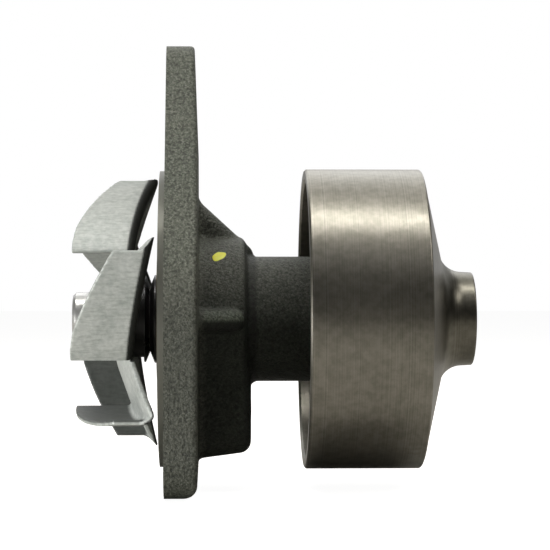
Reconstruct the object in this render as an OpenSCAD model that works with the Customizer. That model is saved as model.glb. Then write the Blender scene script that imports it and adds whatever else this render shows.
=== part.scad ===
// Engine water pump. The shaft lies along X with the engine on the -X side and the pulley on
// the +X side, and the tall bolt lobe points up. The origin is where the shaft axis crosses
// the flange's mounting face.

/* [Shaft] */
// Diameter of the pump shaft
shaft_dia = 15.918; // [14.5:0.001:16.5]
// How far the shaft stands out on the engine side of the mounting face
shaft_reach = 28; // [26:0.5:34]
// Chamfer at the shaft's ends
shaft_chamfer = 1; // [0.4:0.1:1.6]

/* [Bearing] */
// Outside diameter of the bearing's outer race
race_dia = 30; // [29:0.5:32]
// Length of the outer race
race_length = 38.5; // [35:0.5:42]
// Diameter of a ball
ball_dia = 5; // [4.8:0.1:5.4]
// Number of balls
ball_count = 9; // [6:1:10]
// Diameter of a roller
roller_dia = 4; // [3.6:0.1:4.3]
// Length of a roller
roller_length = 8; // [6:0.5:10]
// Number of rollers
roller_count = 12; // [8:1:12]
// Width of the two end seals
end_seal_width = 1.5; // [1:0.1:2]

/* [Flange] */
// Thickness of the flange plate
flange_thick = 9.5; // [8:0.5:12]
// Radius of the flange round the pilot
flange_radius = 50; // [49.5:0.5:55]
// Height of the top bolt hole above the shaft
top_bolt_height = 70; // [66:0.5:78]
// Sideways distance of each lower bolt hole from the shaft
low_bolt_side = 38; // [36.5:0.5:40]
// Distance of the lower bolt holes below the shaft
low_bolt_drop = 38; // [37.5:0.5:42]
// Radius of the lobe round each bolt hole
lobe_radius = 12; // [10:0.5:13]
// Diameter of the bolt holes
bolt_hole_dia = 9; // [7:0.5:10]
// Diameter of the raised pilot that centres the pump
pilot_dia = 88.8; // [85:0.2:90]
// Height of the pilot above the mounting face
pilot_height = 1.9; // [1.5:0.1:2.5]
// Rounding of the flange's lower front edge
low_edge_round = 4.5; // [2:0.5:6]
// How much thinner the flange gets towards its top
top_draft = 1.1; // [0:0.1:1.6]
// Diameter of the machined seat round each bolt hole
spot_face_dia = 17; // [13:0.5:18]
// Width and depth of the groove for the seal ring in the mounting face
ring_groove = 2.4; // [1.8:0.1:2.6]

/* [Housing] */
// Diameter of the barrel over the seal
barrel_dia = 48.6; // [46:0.2:52]
// Length of the barrel in front of the flange
barrel_length = 13.9; // [12:0.1:17]
// Fillet between the barrel's end and the neck
shoulder_fillet = 2.7; // [2:0.1:3.4]
// Diameter of the neck round the bearing
neck_dia = 37.5; // [36.5:0.1:39]
// Thickness of the gusset ribs
rib_thick = 6.8; // [5:0.2:10]
// Distance of the upper rib's top from the shaft axis at the flange
rib_reach = 35.7; // [32:0.1:38]
// Slope of the upper rib
rib_angle = 42.5; // [38:0.5:48]
// Distance of a side rib's top from the shaft axis at the flange
side_rib_reach = 31; // [29:0.1:34]
// Slope of the side ribs
side_rib_angle = 15; // [8:0.5:20]
// Width of the lower body
low_body_width = 37; // [32:0.5:40]
// Distance of the lower body's underside below the shaft
low_body_drop = 41; // [39:0.1:43]
// Length of the lower body in front of the flange
low_body_length = 15.6; // [14:0.2:18]
// Slope of the lower body's underside
low_body_slope = 7.5; // [4:0.5:10]
// Corner radius at the sides of the lower body's underside
low_body_round = 7; // [4:0.5:9]
// Diameter of the drain hole
weep_hole_dia = 4; // [3:0.2:4.4]
// Length of the drain chamber between seal and bearing
weep_chamber = 4.5; // [4.2:0.1:6]
// Diameter of the plug in the lower body's outer face
vent_plug_dia = 6; // [5:0.5:9]

/* [Face seal] */
// Diameter of the seal cup's seat in the housing
seal_seat_dia = 36.5; // [35:0.1:38]
// Depth of the seal cup, from the pilot's face
seal_cup_depth = 9.6; // [9:0.1:11]
// Wall of the seal cup
seal_wall = 0.8; // [0.6:0.1:1]
// Distance of the running faces from the mounting face
seal_face_reach = 5; // [4.8:0.1:6]
// Outside diameter of the carbon nose at the running faces
seal_nose_dia = 19.2; // [18.8:0.1:19.6]
// Outside diameter of the carbon ring's collar
seal_collar_dia = 26.4; // [25.6:0.1:27]
// Wire diameter of the seal spring
seal_wire = 1.2; // [0.9:0.1:1.3]
// Number of turns in the seal spring
seal_turns = 2.25; // [1.5:0.25:2.5]

/* [Impeller] */
// Number of blades
blade_count = 5; // [4:1:6]
// Radius of the blade tips
impeller_radius = 42.7; // [41:0.1:42.8]
// Radius of the blades' inner ends
blade_inner_radius = 27.6; // [26:0.1:29]
// Angle that a blade sweeps round the shaft
blade_sweep = 53; // [46:1:56]
// Radius of a blade's curve
blade_curve = 72; // [50:1:110]
// Sheet thickness
sheet_thick = 1.4; // [1:0.1:1.6]
// Distance of the blades' inner ends from the mounting face
blade_reach = 27.3; // [25.5:0.1:30]
// Distance of the blade tips' free corners from the mounting face
tip_reach = 15; // [13:0.1:16.5]
// How much shorter the blades are at their free corners
tip_taper = 1.2; // [0:0.1:2]
// Rounding of the blades' free corners
tip_round = 2.2; // [1:0.1:3]
// Clearance of the plate's rim to the pilot
rim_clearance = 0.9; // [0.7:0.1:1.2]
// Slope of the dished plate
dish_angle = 20; // [17:0.5:22]
// Diameter of the hub bush
bush_dia = 23; // [22.6:0.1:24]
// Turn of the first blade's inner end round the shaft, from +Y towards +Z
blade_turn = 61; // [0:0.1:360]

/* [Pulley] */
// Diameter of the belt face
pulley_dia = 90; // [86:0.5:96]
// Width of the belt face
pulley_width = 35; // [32:0.5:38]
// Distance of the pulley's open rim from the mounting face
pulley_start = 41.3; // [39:0.1:44]
// Wall of the rim
rim_wall = 3.6; // [3:0.1:5]
// Wall of the web
web_wall = 4.6; // [4:0.1:6]
// Slope of the web
web_angle = 12.4; // [8:0.2:16]
// Diameter of the pulley's hub
hub_dia = 28.3; // [26:0.1:31]
// Distance of the hub's end from the mounting face
hub_end = 92; // [90:0.5:98]
// Fillet between web and hub
hub_fillet = 7.2; // [5:0.1:7.6]
// How deep the hub stands inside the bell
hub_inset = 12; // [8:0.5:14]

/* [Hidden] */
$fn = 96;

// Clearances and small sizes
run_gap = 0.04;      // radial, between parts that turn on each other
seat_gap = 0.02;     // radial, between parts pressed or pushed together
pocket_gap = 0.15;   // between a ball or roller and its cage
overrun = 1;         // how far a cut runs past the face it starts from
edge_break = 0.6;    // small chamfer on machined edges
lap = 0.05;          // how far a face that would only touch a round one is kept inside it

// Shaft and bearing
shaft_r = shaft_dia / 2;
shaft_end = hub_end - edge_break;
race_r = race_dia / 2;
ball_r = ball_dia / 2;
roller_r = roller_dia / 2;
pitch_r = shaft_r + roller_r + run_gap;
race_bore_r = pitch_r + roller_r + run_gap;
race_start = flange_thick + weep_chamber;
race_end = race_start + race_length;
race_proud = edge_break;
row_share = 0.27;
ball_row_x = race_start + race_length * row_share;
roller_row_x = race_end - race_length * row_share;
cage_half = ball_r * 0.36;
cage_rim = 1.2;
lip_width = 0.5;
end_seal_inset = 0.5;

// Flange
lobe_tangent = asin((flange_radius - lobe_radius) / top_bolt_height);
bolt_hole_r = bolt_hole_dia / 2;
spot_face_x = flange_thick - top_draft;
flange_top = top_bolt_height + lobe_radius;
flange_low = low_bolt_drop + lobe_radius;
flange_side = low_bolt_side + lobe_radius;
pilot_r = pilot_dia / 2;
groove_inner_r = pilot_r + ring_groove / 2;
groove_depth = ring_groove;
seal_ring_squeeze = 0.1;

// Housing
neck_end = race_end - race_proud;
barrel_end = flange_thick + barrel_length;
shoulder_end = barrel_end + shoulder_fillet;
low_body_end = flange_thick + low_body_length;
barrel_round = 1.5;
rib_r = rib_thick / 2;
rib_tip_x = shoulder_end - rib_r - 2 * lap;
side_rib_tip_x = barrel_end - rib_r - edge_break;
low_body_nose = 3;
weep_x = flange_thick + weep_chamber / 2;
weep_chamber_r = race_r - edge_break;
land_gap = 3.2;
land_bore_r = shaft_r + land_gap;
vent_depth = vent_plug_dia;
vent_share = 0.17;
vent_z = -(barrel_dia / 2 + (low_body_drop - barrel_dia / 2) * vent_share);
plug_wall = 0.8;
plug_proud = 0.3;

// Face seal, with running faces at seal_face_x
seal_face_x = -seal_face_reach;
seal_seat_r = seal_seat_dia / 2;
seal_cup_x = -pilot_height;
seal_cup_end = seal_cup_x + seal_cup_depth;
seal_flange_r = seal_seat_r + 3 * seal_wall;
seal_nose_r = seal_nose_dia / 2;
seal_collar_r = seal_collar_dia / 2;
seal_step = 1.4;
seal_body_r = seal_collar_r - seal_step;
sleeve_wall = 0.4;
sleeve_r = shaft_r + seat_gap + sleeve_wall;
sleeve_gap = 0.5;
carbon_bore_r = sleeve_r + sleeve_gap;
collar_x = seal_face_x + (seal_collar_r - seal_nose_r) * 0.4;
collar_width = 0.5;
carbon_length = 6;
carbon_end = seal_face_x + carbon_length;
retainer_gap = 0.3;
retainer_x = collar_x + collar_width + retainer_gap;
retainer_play = 0.2;
retainer_end = carbon_end + seal_wall + retainer_play;
retainer_wall = 0.6;
retainer_r = seal_body_r + seat_gap + retainer_wall;
spring_seat_x = seal_cup_end - seal_wall;
spring_shift = 0.5;
spring_r = (retainer_r + seal_seat_r) / 2 + spring_shift;
bellows_wall = 0.8;

// Impeller
bush_r = bush_dia / 2;
bush_gap = 1.7;
bush_end = seal_face_x - bush_gap;
bush_shoulder = 1.5;
spigot_r = bush_r - bush_shoulder;
rim_x = -pilot_height - rim_clearance;
dish_rise = tan(dish_angle);
dish_inner_r = bush_r + bush_shoulder;
dish_x = rim_x - (impeller_radius - dish_inner_r) * dish_rise;
sheet_axial = sheet_thick / cos(dish_angle);
bush_lip = 0.6;
bush_start = dish_x - sheet_thick - bush_lip;
cup_rim = 0.9;
cup_recess_r = bush_r - cup_rim;
cup_recess_depth = 2.2;
petal_lead = 6;
blade_pitch = 360 / blade_count;
blade_start = polar(blade_inner_radius, 0);
blade_tip = polar(impeller_radius, -blade_sweep);
blade_chord = norm(blade_tip - blade_start);
chord_normal = [-(blade_tip - blade_start)[1], (blade_tip - blade_start)[0]] / blade_chord;
blade_centre = (blade_start + blade_tip) / 2
    - chord_normal * sqrt(blade_curve * blade_curve - blade_chord * blade_chord / 4);

// Pulley
pulley_r = pulley_dia / 2;
pulley_end = pulley_start + pulley_width;
hub_r = hub_dia / 2;
web_rise = tan(web_angle);
fillet_r_at = hub_r + hub_fillet;
fillet_x_at = pulley_end + (pulley_r - fillet_r_at) * web_rise + hub_fillet / cos(web_angle);
bell_r = pulley_r - rim_wall;
bell_end = pulley_end - web_wall + (pulley_r - bell_r) * web_rise;
inner_hub_r = hub_r - edge_break;
inner_hub_x = bell_end + (bell_r - inner_hub_r) * web_rise - hub_inset;

// Colours
iron = [0.30, 0.30, 0.26];
bright_steel = [0.72, 0.72, 0.70];
turned_steel = [0.52, 0.50, 0.45];
sheet_steel = [0.76, 0.76, 0.73];
carbon_black = [0.08, 0.08, 0.08];
rubber_black = [0.06, 0.06, 0.06];
ceramic_white = [0.85, 0.83, 0.78];
brass = [0.72, 0.58, 0.30];
plastic_white = [0.80, 0.80, 0.75];

function polar(r, a) = r * [cos(a), sin(a)];
function arc_points(centre, r, from, to, steps) =
    [for (i = [0:steps]) centre + polar(r, from + (to - from) * i / steps)];

// Turns a flat outline in Y and Z, extruded upwards, so that it runs along +X
module from_x(x) {
    translate([x, 0, 0]) rotate([90, 0, 90]) children();
}

// Solid cylinder along X between two stations
module rod(r, x0, x1) {
    translate([x0, 0, 0]) rotate([0, 90, 0]) cylinder(r = r, h = x1 - x0);
}

// Solid of revolution round the shaft axis, from points of radius and station
module turned(points) {
    rotate([0, 90, 0]) rotate_extrude() polygon(points);
}

// Cylinder along X whose far edge is rounded
module rounded_rod(r, x0, x1, edge_r) {
    turned([[0, x0], [r, x0], each arc_points([r - edge_r, x1 - edge_r], edge_r, 0, 90, 8), [0, x1]]);
}

// Ring with a square section round the shaft axis
module ring(inner, outer, x0, x1) {
    turned([[inner, x0], [outer, x0], [outer, x1], [inner, x1]]);
}

// Ring with a round section, used for ball grooves
module round_groove(r, section_r, x) {
    translate([x, 0, 0]) rotate([0, 90, 0]) rotate_extrude() translate([r, 0, 0]) circle(r = section_r);
}

// Flange outline in Y and Z: a disc round the pilot, one tall lobe and two low ones
module flange_outline() {
    right = [
        polar(lobe_radius - lap, lobe_tangent) + [0, top_bolt_height],
        polar(flange_radius - lap, lobe_tangent),
        [flange_radius, 0],
        [low_bolt_side + lobe_radius, -low_bolt_drop],
        [low_bolt_side, -low_bolt_drop - lobe_radius]
    ];
    left = [for (i = [len(right) - 1:-1:0]) [-right[i][0], right[i][1]]];
    circle(r = flange_radius);
    polygon(concat(right, left));
    for (spot = bolt_spots()) translate(spot) circle(r = lobe_radius);
}

function bolt_spots() = [
    [0, top_bolt_height], [-low_bolt_side, -low_bolt_drop], [low_bolt_side, -low_bolt_drop]
];

// Cutter that rounds the flange's lower front edge
module low_edge_cutter() {
    wide = flange_side + overrun;
    difference() {
        translate([flange_thick - low_edge_round, -wide, -flange_low - overrun])
            cube([low_edge_round + overrun, 2 * wide, low_edge_round + overrun]);
        translate([flange_thick - low_edge_round, -wide - overrun, low_edge_round - flange_low])
            rotate([-90, 0, 0]) cylinder(r = low_edge_round, h = 2 * (wide + overrun));
    }
}

// Wedge that thins the flange from the top of the pilot up to the tall lobe
module top_draft_cutter() {
    translate([0, flange_side, 0]) rotate([90, 0, 0]) linear_extrude(2 * flange_side)
        polygon([
            [flange_thick, flange_radius], [flange_thick - top_draft, flange_top],
            [flange_thick - top_draft, flange_top + overrun],
            [flange_thick + overrun, flange_top + overrun], [flange_thick + overrun, flange_radius]
        ]);
}

module flange_plate() {
    difference() {
        from_x(0) linear_extrude(flange_thick) flange_outline();
        low_edge_cutter();
        top_draft_cutter();
    }
}

// Rib with a round sloping edge, from the flange to a round nose at tip_x
module rib(reach, slope, tip_x) {
    foot = flange_thick / 2;
    axis_z = reach - rib_r / cos(slope);
    edge_start = [foot, axis_z + (flange_thick - foot) * tan(slope)];
    edge_end = [tip_x, axis_z - (tip_x - flange_thick) * tan(slope)];
    translate([0, rib_r, 0]) rotate([90, 0, 0]) linear_extrude(rib_thick)
        polygon([[foot, 0], edge_start, edge_end, [tip_x, 0]]);
    translate([edge_start[0], 0, edge_start[1]]) rotate([0, 90 + slope, 0])
        cylinder(r = rib_r, h = norm(edge_end - edge_start));
    translate([edge_end[0], 0, edge_end[1]]) sphere(r = rib_r);
}

// Body round the drain hole, below the barrel
module low_body() {
    half = low_body_width / 2;
    floor_z = -low_body_drop - edge_break;
    nose_x = low_body_end - low_body_nose;
    nose_centre = [nose_x, low_body_nose / cos(low_body_slope) - low_body_drop
        + (nose_x - flange_thick) * tan(low_body_slope)];
    intersection() {
        from_x(flange_thick / 2) linear_extrude(low_body_length + flange_thick) {
            translate([-half, floor_z + low_body_round])
                square([low_body_width, low_body_drop - low_body_round]);
            translate([-half + low_body_round, floor_z])
                square([low_body_width - 2 * low_body_round, low_body_drop]);
            for (side = [-1, 1])
                translate([side * (half - low_body_round), floor_z + low_body_round])
                    circle(r = low_body_round);
        }
        translate([0, half + overrun, 0]) rotate([90, 0, 0])
            linear_extrude(low_body_width + 2 * overrun) polygon([
                [0, 0], [0, -low_body_drop - flange_thick * tan(low_body_slope)],
                each arc_points(nose_centre, low_body_nose, low_body_slope - 90, 0, 8), [low_body_end, 0]
            ]);
    }
}

// Everything that is cut out of the casting round the shaft axis
module housing_bores() {
    rod(seal_seat_r, -pilot_height - overrun, seal_cup_end);
    rod(land_bore_r, seal_cup_end - overrun, flange_thick + overrun);
    rod(weep_chamber_r, flange_thick, race_start);
    rod(race_r + seat_gap, race_start, neck_end + overrun);
}

module housing() {
    color(iron) difference() {
        union() {
            flange_plate();
            rod(pilot_r, -pilot_height, flange_thick / 2);
            rounded_rod(barrel_dia / 2, flange_thick / 2, barrel_end, barrel_round);
            turned([
                [0, barrel_end - barrel_round],
                each arc_points([neck_dia / 2 + shoulder_fillet - lap, shoulder_end],
                    shoulder_fillet + lap, 270, 180, 8),
                [0, shoulder_end]
            ]);
            rod(neck_dia / 2, flange_thick / 2, neck_end);
            rib(rib_reach, rib_angle, rib_tip_x);
            for (turn = [90, -90]) rotate([turn, 0, 0]) rib(side_rib_reach, side_rib_angle, side_rib_tip_x);
            low_body();
        }
        housing_bores();
        for (spot = bolt_spots()) {
            from_x(-overrun) translate(spot) cylinder(r = bolt_hole_r, h = flange_thick + 2 * overrun);
            from_x(spot_face_x) translate(spot) cylinder(r = spot_face_dia / 2, h = flange_thick);
        }
        difference() {
            rod(groove_inner_r + ring_groove, -overrun, groove_depth);
            rod(groove_inner_r, -2 * overrun, groove_depth + overrun);
        }
        translate([weep_x, 0, -low_body_drop - overrun]) cylinder(r = weep_hole_dia / 2, h = low_body_drop);
        translate([0, 0, vent_z]) rod(vent_plug_dia / 2, low_body_end - vent_depth, low_body_end + overrun);
    }
}

module flange_seal_ring() {
    color(rubber_black) ring(groove_inner_r + seal_ring_squeeze,
        groove_inner_r + ring_groove - seal_ring_squeeze, seal_ring_squeeze, groove_depth);
}

// Open-cell plug that keeps dirt out of the drain hole
module weep_filter() {
    filter_r = weep_hole_dia / 2 - seat_gap;
    color(plastic_white) translate([weep_x, 0, -low_body_drop + edge_break]) difference() {
        cylinder(r = filter_r, h = weep_hole_dia);
        translate([0, 0, -overrun]) cylinder(r = filter_r / 2, h = weep_hole_dia / 2 + overrun);
    }
}

// Pressed steel cup that closes the core hole of the lower body
module vent_plug() {
    plug_r = vent_plug_dia / 2 - seat_gap;
    cup_length = vent_depth / 2;
    color(bright_steel) translate([low_body_end - cup_length, 0, vent_z]) difference() {
        rod(plug_r, 0, cup_length + plug_proud);
        rod(plug_r - plug_wall, plug_wall, cup_length + plug_proud + overrun);
    }
}

module bearing_outer_race() {
    color(bright_steel) difference() {
        ring(race_bore_r, race_r, race_start, race_end);
        round_groove(pitch_r, ball_r + run_gap, ball_row_x);
    }
}

// Seal at one end of the bearing, with a lip that runs on the shaft
module bearing_seal(x, out) {
    lip_r = shaft_r + run_gap;
    far = x + out * end_seal_width;
    color(rubber_black) turned([
        [lip_r, x], [race_bore_r - seat_gap, x], [race_bore_r - seat_gap, far],
        [lip_r + lip_width, far], [lip_r, x + out * end_seal_width / 2]
    ]);
}

module bearing_seal_engine_side() {
    bearing_seal(race_start + end_seal_inset + end_seal_width, -1);
}

module bearing_seal_pulley_side() {
    bearing_seal(race_end - end_seal_inset - end_seal_width, 1);
}

module bearing_balls() {
    color(bright_steel) for (i = [0:ball_count - 1])
        rotate([i * 360 / ball_count, 0, 0]) translate([ball_row_x, 0, pitch_r]) sphere(r = ball_r);
}

module ball_cage() {
    half = ball_r + pocket_gap + cage_rim;
    color(brass) difference() {
        ring(pitch_r - cage_half, pitch_r + cage_half, ball_row_x - half, ball_row_x + half);
        for (i = [0:ball_count - 1])
            rotate([i * 360 / ball_count, 0, 0]) translate([ball_row_x, 0, pitch_r])
                sphere(r = ball_r + pocket_gap);
    }
}

module bearing_rollers() {
    color(bright_steel) for (i = [0:roller_count - 1])
        rotate([i * 360 / roller_count, 0, 0]) translate([0, 0, pitch_r])
            rod(roller_r, roller_row_x - roller_length / 2, roller_row_x + roller_length / 2);
}

module roller_cage() {
    half = roller_length / 2 + pocket_gap;
    color(brass) difference() {
        ring(pitch_r - cage_half, pitch_r + cage_half,
            roller_row_x - half - cage_rim, roller_row_x + half + cage_rim);
        for (i = [0:roller_count - 1])
            rotate([i * 360 / roller_count, 0, 0]) translate([0, 0, pitch_r])
                rod(roller_r + pocket_gap, roller_row_x - half, roller_row_x + half);
    }
}

module seal_cup() {
    inner_r = seal_seat_r - seat_gap - seal_wall;
    color(brass) turned([
        [seal_flange_r, seal_cup_x - seal_wall], [seal_flange_r, seal_cup_x],
        [seal_seat_r - seat_gap, seal_cup_x], [seal_seat_r - seat_gap, seal_cup_end],
        [land_bore_r, seal_cup_end], [land_bore_r, spring_seat_x],
        [inner_r, spring_seat_x], [inner_r, seal_cup_x - seal_wall]
    ]);
}

// Rubber bellows with one fold between the carbon ring and the bottom of the cup
module seal_bellows() {
    head_x = carbon_end + seat_gap;
    fold_x = (head_x + spring_seat_x) / 2;
    foot_r = spring_r - seal_wire / 2 - bellows_wall;
    inner_r = land_bore_r + bellows_wall / 4;
    color(rubber_black) turned([
        [carbon_bore_r + bellows_wall / 2, head_x], [seal_body_r - bellows_wall / 2, head_x],
        [seal_body_r - bellows_wall / 2, head_x + bellows_wall / 2],
        [inner_r + 2 * bellows_wall, fold_x],
        [foot_r, spring_seat_x - bellows_wall], [foot_r, spring_seat_x - seat_gap],
        [inner_r + bellows_wall, spring_seat_x - seat_gap], [inner_r, fold_x]
    ]);
}

function turn_about_x(point, a) = [
    point[0], point[1] * cos(a) - point[2] * sin(a), point[1] * sin(a) + point[2] * cos(a)
];

// Spring between the retainer and the bottom of the cup, as one wound wire
module seal_spring() {
    sides = 6;
    rings = 12 * seal_turns;
    wire_r = seal_wire / 2;
    x0 = retainer_end + wire_r + seat_gap;
    x1 = spring_seat_x - wire_r - seat_gap;
    points = [
        for (i = [0:rings]) for (s = [0:sides - 1])
            turn_about_x([x0 + (x1 - x0) * i / rings + wire_r * cos(s * 360 / sides), 0,
                spring_r + wire_r * sin(s * 360 / sides)], i * 360 * seal_turns / rings)
    ];
    last = rings * sides;
    skin = [
        for (i = [0:rings - 1]) for (s = [0:sides - 1]) let (t = (s + 1) % sides)
            each [[i * sides + s, i * sides + t, (i + 1) * sides + s],
                [i * sides + t, (i + 1) * sides + t, (i + 1) * sides + s]]
    ];
    caps = [
        for (s = [1:sides - 2]) each [[0, s + 1, s], [last, last + s, last + s + 1]]
    ];
    color(bright_steel) polyhedron(points, concat(skin, caps));
}

// Steel shell that drives the carbon ring and takes the spring's push
module seal_retainer() {
    shell_r = seal_body_r + seat_gap;
    color(bright_steel) turned([
        [shell_r, retainer_x], [retainer_r, retainer_x], [retainer_r, retainer_end - seal_wall],
        [spring_r + seal_wire / 2, retainer_end - seal_wall], [spring_r + seal_wire / 2, retainer_end],
        [shell_r, retainer_end]
    ]);
}

module seal_carbon_ring() {
    color(carbon_black) turned([
        [carbon_bore_r, seal_face_x], [seal_nose_r, seal_face_x], [seal_collar_r, collar_x],
        [seal_collar_r, collar_x + collar_width], [seal_body_r, collar_x + collar_width],
        [seal_body_r, carbon_end], [carbon_bore_r, carbon_end]
    ]);
}

module seal_mating_ring() {
    ring_end = bush_end - cup_recess_depth + seat_gap;
    color(ceramic_white) ring(sleeve_r + seat_gap, seal_nose_r, ring_end, seal_face_x);
}

module mating_ring_cup() {
    inner_r = seal_nose_r + seat_gap;
    lip_r = seal_collar_r - lip_width / 2;
    color(rubber_black) turned([
        [inner_r, bush_end - cup_recess_depth + seat_gap],
        [cup_recess_r - seat_gap, bush_end - cup_recess_depth + seat_gap],
        [cup_recess_r - seat_gap, bush_end + seat_gap], [lip_r, bush_end + seat_gap],
        [lip_r, bush_end + lip_width], [inner_r + lip_width, seal_face_x - run_gap],
        [inner_r, seal_face_x - run_gap]
    ]);
}

module seal_sleeve() {
    color(bright_steel)
        ring(shaft_r + seat_gap, sleeve_r, bush_end - cup_recess_depth + seat_gap, seal_cup_end);
}

// Disc that throws leaked water off the shaft into the drain chamber
module water_slinger() {
    disc_x = weep_x - seal_wall / 2;
    slinger_r = weep_chamber_r - 2;
    color(bright_steel) ring(shaft_r + seat_gap, slinger_r, disc_x, disc_x + seal_wall);
}

module pump_shaft() {
    color(bright_steel) difference() {
        turned([
            [0, -shaft_reach], [shaft_r - shaft_chamfer, -shaft_reach],
            [shaft_r, shaft_chamfer - shaft_reach],
            [shaft_r, shaft_end - shaft_chamfer], [shaft_r - shaft_chamfer, shaft_end], [0, shaft_end]
        ]);
        round_groove(pitch_r, ball_r + run_gap, ball_row_x);
    }
}

module impeller_bush() {
    color(sheet_steel) difference() {
        union() {
            rod(spigot_r - seat_gap, bush_start, dish_x + sheet_thick);
            rod(bush_r, dish_x, bush_end);
        }
        rod(shaft_r + seat_gap, bush_start - overrun, bush_end + overrun);
        rod(cup_recess_r, bush_end - cup_recess_depth, bush_end + overrun);
    }
}

// Dished sheet: a flat round the bush, then a cone that opens toward the flange
module dished_sheet() {
    turned([
        [spigot_r, dish_x - sheet_thick], [dish_inner_r, dish_x - sheet_thick],
        [impeller_radius, rim_x - sheet_axial], [impeller_radius, rim_x],
        [dish_inner_r, dish_x], [spigot_r, dish_x]
    ]);
}

// Gap between one petal and the next: outside this blade's curve, ahead of the next petal
module petal_gap() {
    far = 2 * impeller_radius;
    next_lead = polar(impeller_radius, blade_pitch - blade_sweep - petal_lead);
    ahead = blade_start + (next_lead - blade_start) * far / norm(next_lead - blade_start);
    difference() {
        from_x(dish_x - impeller_radius) linear_extrude(2 * impeller_radius)
            polygon([
                polar(blade_inner_radius - edge_break / 2, 0), ahead, polar(far, -blade_sweep / 2), polar(far, -blade_sweep - petal_lead),
                polar(blade_inner_radius / 2, -blade_sweep / 2)
            ]);
        blade_rod(blade_curve);
    }
}

// Cylinder round a blade's centre of curvature
module blade_rod(r) {
    from_x(dish_x - impeller_radius - overrun) translate(blade_centre)
        cylinder(r = r, h = 2 * (impeller_radius + overrun));
}

// Wedge from a blade's centre of curvature to its two ends
module blade_wedge() {
    to_start = blade_start - blade_centre;
    to_tip = blade_tip - blade_centre;
    from_x(dish_x - impeller_radius) linear_extrude(2 * impeller_radius)
        polygon([
            blade_centre, blade_centre + 2 * to_start,
            blade_centre + 2 * (to_start + to_tip), blade_centre + 2 * to_tip
        ]);
}

// One blade, from its free edge down into the dished sheet
module blade() {
    mid_sheet = sheet_axial / 2;
    near_r = blade_inner_radius - 2 * sheet_thick;
    corner_r = impeller_radius - tip_taper;
    intersection() {
        difference() {
            blade_rod(blade_curve - lap);
            blade_rod(blade_curve - sheet_thick);
        }
        turned([
            [near_r, rim_x - (impeller_radius - near_r) * dish_rise - mid_sheet],
            [impeller_radius, rim_x - mid_sheet],
            [corner_r, -tip_reach + tip_round / 2],
            [corner_r - tip_round / 3, -tip_reach - tip_round / 4],
            [corner_r - tip_round, -tip_reach - tip_round],
            [blade_inner_radius + tip_round / 4, -blade_reach], [near_r, -blade_reach]
        ]);
        blade_wedge();
    }
}

module impeller() {
    color(sheet_steel) difference() {
        dished_sheet();
        for (i = [0:blade_count - 1]) rotate([blade_turn + i * blade_pitch, 0, 0]) petal_gap();
    }
    color(sheet_steel) for (i = [0:blade_count - 1]) rotate([blade_turn + i * blade_pitch, 0, 0]) blade();
}

module pulley() {
    color(turned_steel) difference() {
        turned([
            [inner_hub_r, inner_hub_x],
            [inner_hub_r, bell_end + (bell_r - inner_hub_r) * web_rise],
            [bell_r, bell_end], [bell_r, pulley_start + edge_break],
            [bell_r + edge_break, pulley_start], [pulley_r - edge_break, pulley_start],
            [pulley_r, pulley_start + edge_break], [pulley_r, pulley_end],
            each arc_points([fillet_r_at, fillet_x_at], hub_fillet, 270 - web_angle, 180, 12),
            [hub_r, hub_end - edge_break], [hub_r - edge_break, hub_end],
            [0, hub_end], [0, inner_hub_x]
        ]);
        rod(shaft_r + seat_gap, inner_hub_x - overrun, hub_end + overrun);
    }
}

housing();
flange_seal_ring();
weep_filter();
vent_plug();
bearing_outer_race();
bearing_seal_engine_side();
bearing_seal_pulley_side();
bearing_balls();
ball_cage();
bearing_rollers();
roller_cage();
seal_cup();
seal_bellows();
seal_spring();
seal_retainer();
seal_carbon_ring();
seal_mating_ring();
mating_ring_cup();
seal_sleeve();
water_slinger();
pump_shaft();
impeller_bush();
impeller();
pulley();
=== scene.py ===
import math

import bmesh
import bpy
import numpy as np
import openvdb
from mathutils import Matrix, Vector


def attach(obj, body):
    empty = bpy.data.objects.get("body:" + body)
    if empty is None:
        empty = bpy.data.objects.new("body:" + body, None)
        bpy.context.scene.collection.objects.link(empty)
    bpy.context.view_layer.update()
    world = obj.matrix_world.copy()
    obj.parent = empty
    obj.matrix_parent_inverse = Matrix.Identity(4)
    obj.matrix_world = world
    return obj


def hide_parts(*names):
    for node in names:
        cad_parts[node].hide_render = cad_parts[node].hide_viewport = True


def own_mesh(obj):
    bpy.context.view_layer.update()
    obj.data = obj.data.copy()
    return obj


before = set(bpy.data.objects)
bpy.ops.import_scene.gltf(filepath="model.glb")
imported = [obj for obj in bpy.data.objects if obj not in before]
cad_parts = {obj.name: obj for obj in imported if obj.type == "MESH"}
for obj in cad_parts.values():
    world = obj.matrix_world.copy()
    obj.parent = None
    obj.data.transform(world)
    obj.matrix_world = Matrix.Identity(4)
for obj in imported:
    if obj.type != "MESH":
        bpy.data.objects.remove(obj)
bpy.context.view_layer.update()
MM = 0.001

# Sizes in millimetres and angles in degrees, as in the solids. X runs along the shaft, away from the engine.
# Flange, pilot and groove
FLANGE_T, FLANGE_R, TOP_H, LOBE_R = 9.5, 50.0, 70.0, 12.0
LOW_SIDE, LOW_DROP, DRAFT, LOW_EDGE = 38.0, 38.0, 1.1, 4.5
PILOT_R, PILOT_H, GROOVE_R, GROOVE_W = 44.4, 1.9, 45.6, 2.4
FOOT_HALF, FOOT_MIDDLE = 30.0, -20.0
# Barrel, neck, ribs and the lower body
BARREL_R, BARREL_END, BARREL_ROUND, FILLET = 24.3, 23.4, 1.5, 2.7
NECK_R, NECK_END, SHOULDER_END = 18.75, 51.9, 26.1
RIB_R, RIB_REACH, RIB_SLOPE, RIB_TIP = 3.4, 35.7, 42.5, 22.6
SIDE_REACH, SIDE_SLOPE, SIDE_TIP = 31.0, 15.0, 19.4
BODY_HALF, BODY_DROP, BODY_END, BODY_SLOPE = 18.5, 41.0, 25.1, 7.5
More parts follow.
